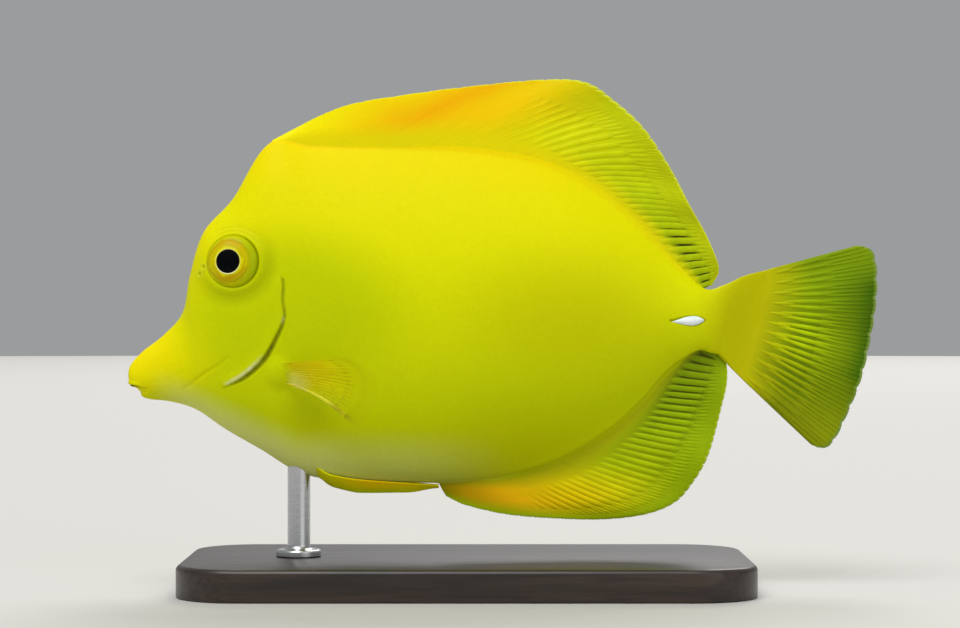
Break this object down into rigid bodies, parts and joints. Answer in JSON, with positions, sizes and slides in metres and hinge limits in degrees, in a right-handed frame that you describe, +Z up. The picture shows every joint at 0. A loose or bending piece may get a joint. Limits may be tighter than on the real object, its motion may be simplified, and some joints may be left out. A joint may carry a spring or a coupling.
{
  "type": "yellow tang model",
  "caption": "Still life-size yellow tang: deep flat body, long snout, tall ray-ribbed fins and fan tail, held over a flat base by a short rod.",
  "frame": {"origin": "middle of the overall box, on the surface that the stand's base rests on", "axes": "+Z up; the fish looks towards -X and its left flank faces -Y"},
  "size_m": [0.1656, 0.064, 0.112],
  "materials": {
    "yellow_skin": "satin",
    "golden_fin": "satin",
    "lime_fin": "satin",
    "white_blade": "gloss",
    "golden_eye": "high gloss",
    "stand_wood": "black stain under satin lacquer",
    "stand_steel": "brushed"
  },
  "bodies": {
    "root": {"head": "yellow_skin", "lower_jaw": "yellow_skin", "gill_cover_left": "yellow_skin", "gill_cover_right": "yellow_skin", "torso": "yellow_skin", "tail_stalk": "yellow_skin", "dorsal_fin": "golden_fin", "anal_fin": "golden_fin", "tail_fin": "lime_fin", "pectoral_fin_left": "golden_fin", "pectoral_fin_right": "golden_fin", "pelvic_fin_left": "golden_fin", "pelvic_fin_right": "golden_fin", "eye_left": "golden_eye", "eye_right": "golden_eye", "tail_blade_left": "white_blade", "tail_blade_right": "white_blade", "stand_base": "stand_wood", "stand_rod": "stand_steel"}
  },
  "joints": []
}
